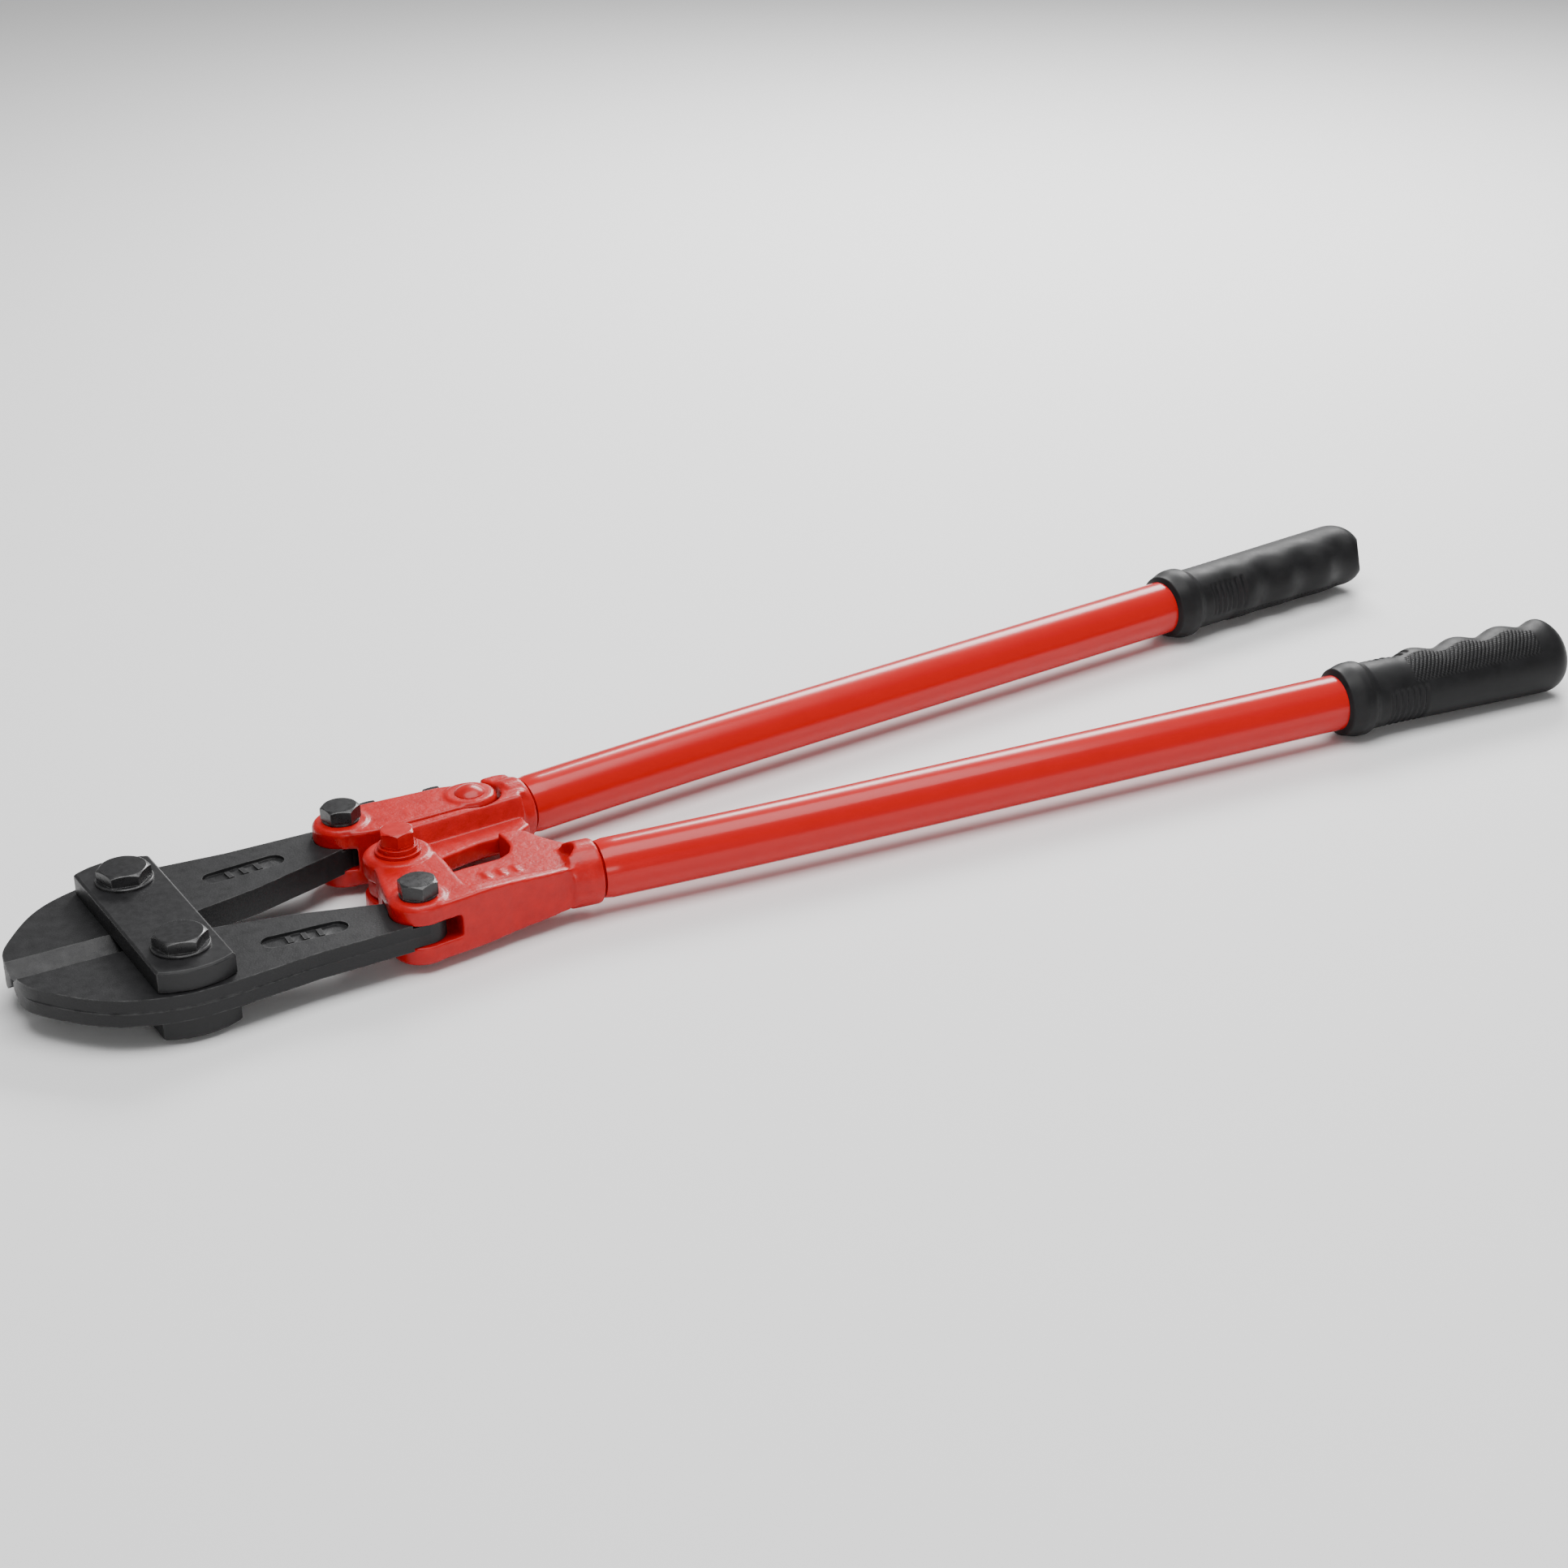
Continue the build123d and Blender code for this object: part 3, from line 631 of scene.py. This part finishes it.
def grip_mesh(side, roll, face, name):
    """A moulded grip: rolled lip, stepped collar, finger waves, ribs, knurl and bulb end."""
    sizes = bpy.context.scene.cutter_grips
    shape = unit_tube(sizes.segments, sizes.rings)
    slope_length = sqrt(1 + REAR_SLOPE * REAR_SLOPE)
    cut_normal = Vector((cos(CUT_ANGLE), -sin(CUT_ANGLE), 0))
    cut_distance = GRIP_LENGTH * cut_normal.x + CUT_SETBACK
    turn = Matrix.Rotation(roll, 3, "X")
    for vert in shape.verts:
        angle = atan2(vert.co.z, vert.co.y)
        along = GRIP_LENGTH * vert.co.x
        radius = grip_radius(along, angle, sizes)
        across = radius * cos(angle)
        radius += rib_height(along, angle, sizes)
        radius += knurl_height(along, across, face * sin(angle), sizes)
        lip = ease(along, 0.0, LIP_LENGTH)
        radius = LIP_RADIUS * (1 - lip) + radius * lip
        tail = max(0.0, (along - (GRIP_LENGTH - BULB)) / BULB)
        radius *= max(BULB_TIP, max(0.0, 1 - tail ** BULB_POWER) ** 0.5)
        place = Vector((along, radius * cos(angle), radius * sin(angle)))
        beyond = place.dot(cut_normal) - cut_distance
        if beyond > 0:
            place -= cut_normal * beyond
        place = turn @ place
        x = GRIP_START + place.x / slope_length
        vert.co = laid_on_axis(x, place.y, place.z, side)
    close_ends(shape)
    mesh = mesh_from(shape, name)
    mesh.polygons.foreach_set("use_smooth", [True] * len(mesh.polygons))
    return mesh


# ---- operators --------------------------------------------------------------------------------
class CUTTERS_OT_blades(bpy.types.Operator):
    """Forged blades with eased edges and a parting line round the outside"""
    bl_idname = "cutters.blades"
    bl_label = "Blades"

    def execute(self, context):
        sizes = context.scene.cutter_edges
        steel = forged_black()
        for node, side in (("left_blade", -1), ("right_blade", 1)):
            blade = eased_piece(node, sizes.forged, steel)
            raise_parting_line(blade.data, side, sizes.parting_line)
        return {"FINISHED"}


class CUTTERS_OT_straps(bpy.types.Operator):
    """The two straps that hold the blades together"""
    bl_idname = "cutters.straps"
    bl_label = "Straps"

    def execute(self, context):
        steel = strap_black()
        for node in ("top_strap", "bottom_strap"):
            eased_piece(node, context.scene.cutter_edges.machined, steel)
        return {"FINISHED"}


class CUTTERS_OT_castings(bpy.types.Operator):
    """The left and right forgings and the adjusting arm"""
    bl_idname = "cutters.castings"
    bl_label = "Castings"

    def execute(self, context):
        sizes = context.scene.cutter_edges
        paint = cast_paint()
        for node in CASTINGS:
            cast_piece(node, sizes.cast_grid, sizes.cast_rounding, paint)
        return {"FINISHED"}


class CUTTERS_OT_fasteners(bpy.types.Operator):
    """Bolts, washers, screws, nuts and the rivet"""
    bl_idname = "cutters.fasteners"
    bl_label = "Fasteners"

    def execute(self, context):
        width = context.scene.cutter_edges.machined
        finishes = {"fastener_black": bolt_black(), "fastener_red": bolt_paint(),
                    "forging_red": bolt_paint()}
        for node, slot in SLOT_OF.items():
            if slot in finishes and node not in CASTINGS:
                eased_piece(node, width, finishes[slot])
        return {"FINISHED"}


class CUTTERS_OT_tubes(bpy.types.Operator):
    """The two bent steel tubes"""
    bl_idname = "cutters.tubes"
    bl_label = "Tubes"

    def execute(self, context):
        paint = tube_paint()
        for node, side in (("right_tube", 1), ("left_tube", -1)):
            mesh = tube_mesh(side, node + "_drawn")
            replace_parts(add_piece(node + "_drawn", mesh, node, paint), node)
        return {"FINISHED"}


class CUTTERS_OT_grips(bpy.types.Operator):
    """The two moulded rubber grips"""
    bl_idname = "cutters.grips"
    bl_label = "Grips"

    def execute(self, context):
        rubber = grip_rubber()
        for node, (side, roll, face) in GRIPS.items():
            mesh = grip_mesh(side, roll, face, node + "_moulded")
            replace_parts(add_piece(node + "_moulded", mesh, node, rubber), node)
        return {"FINISHED"}


def soft_light(name, place, aim, size, power):
    """A rectangular soft light that faces a point."""
    data = bpy.data.lights.new(name, "AREA")
    data.shape = "RECTANGLE"
    data.size = size[0]
    data.size_y = size[1]
    data.energy = power
    light = bpy.data.objects.new(name, data)
    bpy.context.scene.collection.objects.link(light)
    light.location = place
    light.rotation_euler = (Vector(aim) - Vector(place)).to_track_quat("-Z", "Y").to_euler()


class CUTTERS_OT_stage(bpy.types.Operator):
    """A pale floor, soft lights and the camera"""
    bl_idname = "cutters.stage"
    bl_label = "Stage"

    def execute(self, context):
        self.add_floor(context)
        self.add_lights(context)
        self.add_camera(context)
        return {"FINISHED"}

    def add_floor(self, context):
        shape = bmesh.new()
        bmesh.ops.create_grid(shape, x_segments=1, y_segments=1, size=6.0)
        floor = bpy.data.objects.new("floor", mesh_from(shape, "floor"))
        floor.data.materials.append(studio_floor())
        context.scene.collection.objects.link(floor)

    def add_lights(self, context):
        soft_light("overhead", (0.0, -0.2, 1.7), (0, 0, 0), (1.8, 1.2), 42.0)
        soft_light("key", (0.9, 1.0, 0.9), (-0.1, 0, 0), (0.9, 0.5), 30.0)
        soft_light("front", (-0.4, -1.7, 0.6), (-0.2, 0, 0), (0.8, 0.4), 6.0)
        world = bpy.data.worlds.new("Studio")
        world.use_nodes = True
        world.node_tree.nodes["Background"].inputs["Color"].default_value = (1, 1, 1, 1)
        world.node_tree.nodes["Background"].inputs["Strength"].default_value = 0.30
        context.scene.world = world

    def add_camera(self, context):
        sizes = context.scene.cutter_stage
        data = bpy.data.cameras.new("camera")
        data.lens = sizes.lens
        data.sensor_width = 36.0
        camera = bpy.data.objects.new("camera", data)
        context.scene.collection.objects.link(camera)
        turn = Matrix.Rotation(-sizes.azimuth, 4, "Z")
        tilt = Matrix.Rotation(pi / 2 - sizes.elevation, 4, "X")
        roll = Matrix.Rotation(sizes.roll, 4, "Z")
        back = Matrix.Translation((0, 0, sizes.distance))
        camera.matrix_world = Matrix.Translation(sizes.target) @ turn @ tilt @ roll @ back
        context.scene.camera = camera


class CUTTERS_PT_sidebar(bpy.types.Panel):
    """Lists the pieces in the order they are made"""
    bl_idname = "CUTTERS_PT_sidebar"
    bl_label = "Bolt Cutters"
    bl_space_type = "VIEW_3D"
    bl_region_type = "UI"
    bl_category = "Bolt Cutters"

    def draw(self, context):
        for operator in OPERATORS:
            self.layout.operator(operator.bl_idname)
        for name in GROUPED_SIZES:
            sizes = getattr(context.scene, name)
            box = self.layout.box()
            for key in sizes.__annotations__:
                box.prop(sizes, key)


OPERATORS = (CUTTERS_OT_blades, CUTTERS_OT_straps, CUTTERS_OT_castings, CUTTERS_OT_fasteners,
             CUTTERS_OT_tubes, CUTTERS_OT_grips, CUTTERS_OT_stage)
GROUPED_SIZES = {
    "cutter_colours": PaintColours,
    "cutter_edges": EdgeSizes,
    "cutter_tubes": TubeSizes,
    "cutter_grips": GripSizes,
    "cutter_stage": StageSizes,
}


def register():
    for sizes in GROUPED_SIZES.values():
        bpy.utils.register_class(sizes)
    for name, sizes in GROUPED_SIZES.items():
        setattr(bpy.types.Scene, name, bpy.props.PointerProperty(type=sizes))
    for operator in OPERATORS:
        bpy.utils.register_class(operator)
    bpy.utils.register_class(CUTTERS_PT_sidebar)


def unregister():
    bpy.utils.unregister_class(CUTTERS_PT_sidebar)
    for operator in reversed(OPERATORS):
        bpy.utils.unregister_class(operator)
    for name, sizes in GROUPED_SIZES.items():
        delattr(bpy.types.Scene, name)
        bpy.utils.unregister_class(sizes)


def main():
    register()
    bpy.ops.cutters.blades()
    bpy.ops.cutters.straps()
    bpy.ops.cutters.castings()
    bpy.ops.cutters.fasteners()
    bpy.ops.cutters.tubes()
    bpy.ops.cutters.grips()
    bpy.ops.cutters.stage()


if __name__ == "__main__":
    main()
